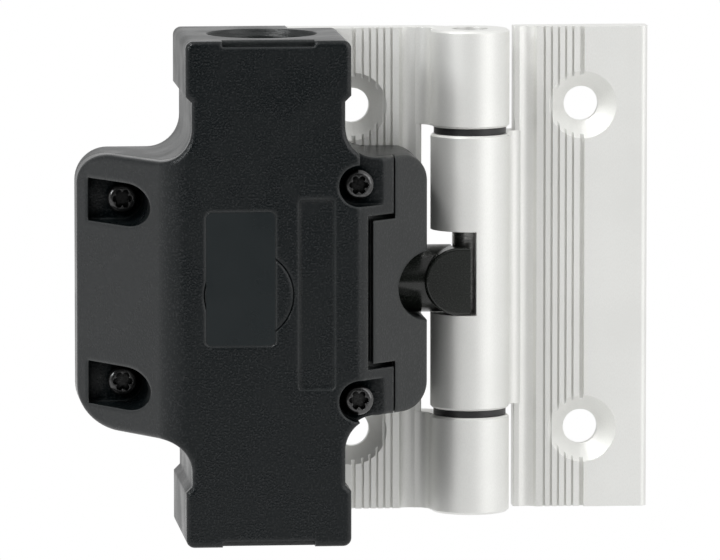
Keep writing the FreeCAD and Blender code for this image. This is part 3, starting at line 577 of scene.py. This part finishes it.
@dataclass
class Housing(SubAssembly):
    """The moulded housing, with the ridge of the thread in its cable entry."""

    entry_mount: str = "cable_entry"
    thread_pitch: float = 1.5 * MM
    thread_steps_per_turn: int = 56
    ridge_height: float = 0.45 * MM
    ridge_foot: float = 1.1 * MM
    ridge_sink: float = 0.12 * MM
    plain_end: float = 0.7 * MM

    def build(self) -> None:
        """Dresses the nodes and adds the thread."""
        self.dress()
        self.build_thread()

    def build_thread(self) -> None:
        """Winds the thread's ridge inside the bore of the cable entry."""
        entry = next(mount for mount in frame["record"]["mounts"] if mount["name"] == self.entry_mount)
        radius = entry["dims"]["r_mm"] * MM
        depth = entry["dims"]["length_mm"] * MM
        x, y, z = entry["pos_m"]
        length = depth - 2.0 * self.plain_end
        outline = ridge_outline(self.ridge_height, self.ridge_foot, self.ridge_sink)
        turns = length / self.thread_pitch
        mesh = bmesh.new()
        ridge = Winding(radius, length, turns, outline, self.thread_steps_per_turn)
        ridge.wind(mesh, Matrix.Translation((x, y, z - length / 2)))
        new_piece("cable_entry_thread", mesh, HOUSING_PLASTIC, Body.SWITCH)


@dataclass
class Contacts(SubAssembly):
    """The contact element, with springs of round wire whose first and last turns are closed."""

    return_wire: float = 0.6 * MM
    return_turns: float = 8.0
    return_stroke: float = 8.0 * MM
    bridge_wire: float = 0.34 * MM
    bridge_turns: float = 4.0
    closed_pitch_in_wires: float = 1.05
    coil_steps_per_turn: int = 24

    def build(self) -> None:
        """Dresses the nodes and adds the springs."""
        self.dress()
        self.build_return_spring()
        self.build_bridge_springs()

    def coil(self, mesh: bmesh.types.BMesh, low: Vector, high: Vector, wire: float, turns: float) -> None:
        """Winds a spring along X inside a box.

        Args:
            mesh: The mesh that takes it.
            low: The box's lowest corner.
            high: The box's highest corner.
            wire: The wire's diameter.
            turns: The number of turns, closed ends included.
        """
        radius = (high.z - low.z - wire) / 2
        length = high.x - low.x - wire
        start = Vector((low.x + wire / 2, (low.y + high.y) / 2, (low.z + high.z) / 2))
        place = Matrix.Translation(start) @ Matrix.Rotation(math.radians(90.0), 4, "Y")
        spring = Winding(radius, length, turns, wire_outline(wire), self.coil_steps_per_turn,
                         end_pitch=wire * self.closed_pitch_in_wires)
        spring.wind(mesh, place)

    def build_return_spring(self) -> None:
        """Winds the return spring as one fixed coil, though the real spring shortens as the tongue slides
        in.
        """
        low, high = (Vector(corner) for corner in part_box("return_spring"))
        mesh = bmesh.new()
        self.coil(mesh, low, high, self.return_wire, self.return_turns)
        spring = new_piece("return_spring_wire", mesh, SPRING_STEEL, Body.SWITCH)
        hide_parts("return_spring")
        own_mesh(spring)

    def build_bridge_springs(self) -> None:
        """Winds the two short springs behind the contact bridges."""
        low, high = (Vector(corner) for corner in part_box("bridge_springs"))
        width = high.z - low.z
        mesh = bmesh.new()
        for side in (low.y, high.y - width):
            self.coil(mesh, Vector((low.x, side, low.z)), Vector((high.x, side + width, high.z)),
                      self.bridge_wire, self.bridge_turns)
        springs = new_piece("bridge_springs_wire", mesh, SPRING_STEEL, Body.TONGUE)
        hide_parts("bridge_springs")


HINGE = SubAssembly("hinge", {
    "fixed_leaf": LEAF_ALLOY,
    "door_leaf": LEAF_ALLOY,
    "hinge_pin": PIN_STEEL,
    "upper_bush": BEARING_PLASTIC,
    "lower_bush": BEARING_PLASTIC,
})
HOUSING = Housing("housing", {
    "housing_base": HOUSING_PLASTIC,
    "housing_lid": LID_PLASTIC,
    "lid_seal": SEAL_RUBBER,
    "rating_plate": PLATE_FOIL,
    "left_lid_screws": SCREW_BLACK,
    "right_lid_screws": SCREW_BLACK,
    "base_screws": ZINC_STEEL,
})
PLUNGER = SubAssembly("plunger", {
    "tongue": TONGUE_PLASTIC,
    "tongue_seal": SEAL_RUBBER,
})
CONTACTS = Contacts("contacts", {
    "contact_block": BLOCK_PLASTIC,
    "block_screws": ZINC_STEEL,
    "fixed_contacts": CONTACT_BRASS,
    "terminal_clamps": ZINC_STEEL,
    "terminal_screws": ZINC_STEEL,
    "contact_carrier": CARRIER_PLASTIC,
    "moving_bridges": CONTACT_BRASS,
    "bridge_springs": SPRING_STEEL,
    "return_spring": SPRING_STEEL,
})


@dataclass(frozen=True)
class Camera:
    """A camera that looks at a point from an azimuth and an elevation in degrees."""

    aim: Point = (0.0006, -0.012, -0.0012)
    azimuth: float = -5.2
    elevation: float = 6.5
    distance: float = 1.6
    farthest_view: float = 20.0
    focal_length_mm: float = 437.0
    sensor_width_mm: float = 36.0

    def direction(self) -> Vector:
        """Works out where the camera stands.

        Returns:
            The direction from the part to the camera.
        """
        turn = math.radians(self.azimuth)
        climb = math.radians(self.elevation)
        level = math.cos(climb)
        return Vector((math.sin(turn) * level, -math.cos(turn) * level, math.sin(climb)))

    def build(self) -> None:
        """Puts the camera in place and makes it the scene's camera."""
        data = bpy.data.cameras.new("camera")
        data.lens = self.focal_length_mm
        data.sensor_width = self.sensor_width_mm
        data.clip_end = self.farthest_view
        camera = bpy.data.objects.new("camera", data)
        bpy.context.collection.objects.link(camera)
        camera.location = Vector(self.aim) + self.direction() * self.distance
        camera.rotation_euler = self.direction().to_track_quat("Z", "Y").to_euler()
        bpy.context.scene.camera = camera


@dataclass(frozen=True)
class Surroundings:
    """The world, white in view.

    In reflections it goes from grey on the left to bright on the right, with a dark round patch at
    the front and a softbox at the far left. Each span says between which values of a direction's X
    or Y the brightness changes.
    """

    left: float = 0.48
    right: float = 0.95
    left_to_right: Span = (-0.7, 0.5)
    front: float = 0.04
    front_to_side: Span = (-0.975, -0.70)
    softbox: float = 0.5
    softbox_span: Span = (-1.0, -0.8)
    diffuse: float = 0.47

    def build(self) -> None:
        """Writes the world's node tree."""
        world = bpy.data.worlds.new("surroundings")
        world.use_nodes = True
        bpy.context.scene.world = world
        tree = NodeTree(world.node_tree)
        toward = tree.add("SeparateXYZ", {"Vector": tree.add("TexCoord").outputs["Generated"]}).outputs
        across = tree.spread(toward["X"], self.left, self.right, self.left_to_right)
        around = tree.spread(toward["Y"], self.front, 1.0, self.front_to_side)
        softbox = tree.spread(toward["X"], self.softbox, 0.0, self.softbox_span)
        reflection = tree.calculate("MULTIPLY_ADD", across, around, softbox)
        rays = tree.add("LightPath").outputs
        glossy = tree.calculate("MAXIMUM", rays["Is Glossy Ray"], rays["Is Transmission Ray"])
        lit = tree.choose(glossy, self.diffuse, reflection)
        seen = tree.choose(rays["Is Camera Ray"], lit, 1.0)
        background = tree.nodes["Background"].inputs
        tree.feed(background["Strength"], seen)
        tree.feed(background["Color"], WHITE)


@dataclass(frozen=True)
class Lamp:
    """A square soft lamp that shines at the middle of the part, with its power in watts."""

    name: str
    place: Point
    side: float
    power: float
    colour: Colour = WHITE

    def build(self) -> None:
        """Hangs the lamp."""
        data = bpy.data.lights.new(self.name, "AREA")
        data.size = self.side
        data.energy = self.power
        data.color = self.colour
        lamp = bpy.data.objects.new(self.name, data)
        bpy.context.collection.objects.link(lamp)
        lamp.location = self.place
        lamp.rotation_euler = Vector(self.place).to_track_quat("Z", "Y").to_euler()


@dataclass(frozen=True)
class Floor:
    """A pale matt floor well under the part, white in view and in reflections, and clear from below."""

    half_side: float = 3.0
    drop: float = 0.35
    mottle_scale: float = 8.0
    darker: Colour = (0.84, 0.84, 0.84)
    lighter: Colour = (0.88, 0.88, 0.88)

    def material(self) -> bpy.types.Material:
        """Writes the floor's node tree.

        Returns:
            The material.
        """
        tree = FinishTree("floor_white")
        pale = tree.blend(tree.noise(tree.place(), self.mottle_scale), self.darker, self.lighter)
        matt = tree.add("BsdfDiffuse", {"Color": pale}).outputs["BSDF"]
        white = tree.add("Emission", {"Color": WHITE, "Strength": 1.0}).outputs["Emission"]
        rays = tree.add("LightPath").outputs
        seen = tree.calculate("MAXIMUM", rays["Is Camera Ray"], rays["Is Glossy Ray"])
        seen = tree.calculate("MAXIMUM", seen, rays["Is Transmission Ray"])
        above = tree.add("MixShader", {0: seen, 1: matt, 2: white}).outputs["Shader"]
        below = tree.add("BsdfTransparent").outputs["BSDF"]
        from_below = tree.add("NewGeometry").outputs["Backfacing"]
        surface = tree.add("MixShader", {0: from_below, 1: above, 2: below}).outputs["Shader"]
        tree.feed(tree.nodes["Material Output"].inputs["Surface"], surface)
        return tree.material

    def build(self) -> None:
        """Lays the floor."""
        half = self.half_side
        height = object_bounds()[0][2] - self.drop
        corners = [(x, y, height) for x, y in ((-half, -half), (half, -half), (half, half), (-half, half))]
        mesh = bpy.data.meshes.new("floor")
        mesh.from_pydata(corners, [], [(0, 1, 2, 3)])
        mesh.materials.append(self.material())
        floor = bpy.data.objects.new("floor", mesh)
        bpy.context.collection.objects.link(floor)
        floor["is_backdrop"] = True


@dataclass(frozen=True)
class Studio:
    """The camera and everything that lights the part."""

    camera: Camera = Camera()
    surroundings: Surroundings = Surroundings()
    lamps: tuple[Lamp, ...] = (
        Lamp("key", place=(0.95, -0.90, 0.45), side=1.0, power=5.6),
        Lamp("top", place=(-0.55, -0.45, 1.0), side=0.35, power=7.5),
        Lamp("left_fill", place=(-1.0, -0.75, 0.50), side=0.30, power=4.0, colour=(0.97, 0.99, 1.0)),
    )
    floor: Floor = Floor()

    def build(self) -> None:
        """Builds the whole studio, in which colours render as they are written."""
        for item in (self.camera, self.surroundings, *self.lamps, self.floor):
            item.build()
            LOG.info("studio: %s", item)
        bpy.context.scene.view_settings.view_transform = "Standard"


def main() -> None:
    """Dresses each sub-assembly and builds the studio."""
    logging.basicConfig(level=logging.INFO, format="%(name)s: %(message)s")
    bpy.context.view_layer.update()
    for assembly in (HINGE, HOUSING, PLUNGER, CONTACTS):
        assembly.build()
    Studio().build()


if __name__ == "__main__":
    main()
